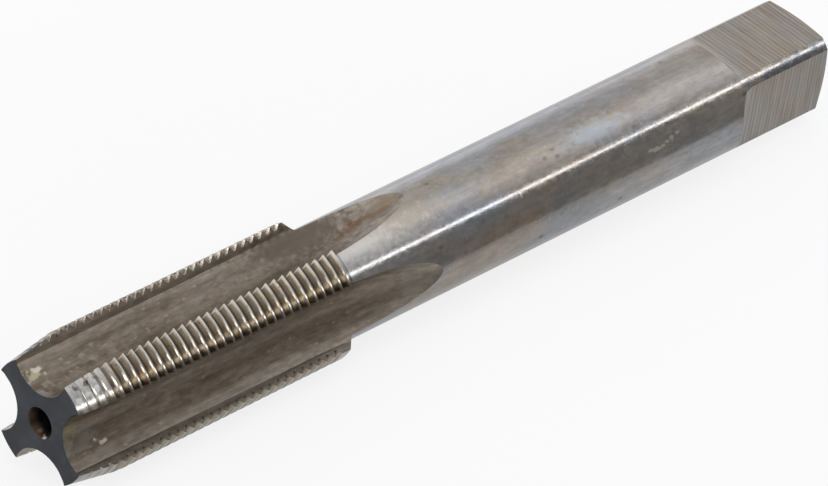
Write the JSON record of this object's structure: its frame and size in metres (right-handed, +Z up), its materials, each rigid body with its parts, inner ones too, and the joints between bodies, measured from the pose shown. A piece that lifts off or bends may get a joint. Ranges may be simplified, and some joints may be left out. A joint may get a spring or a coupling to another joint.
{
  "type": "hand tap",
  "caption": "Straight-fluted hand tap for cutting internal screw threads, with a tapered cutting lead, a plain round shank and a square drive end.",
  "frame": {"origin": "centre of the tip's face, on the tap's axis", "axes": "+X along the tap's axis from the tip to the drive square; +Z up, out of the flute that faces up as the tap lies on two of its lands"},
  "size_m": [0.1422, 0.0176, 0.0176],
  "materials": {
    "tool_steel": "ground and milled bare tool steel, with a fine satin grain, brown tints in the flutes and a dark tip face"
  },
  "bodies": {
    "root": {"tap_body": "tool_steel"}
  },
  "joints": []
}
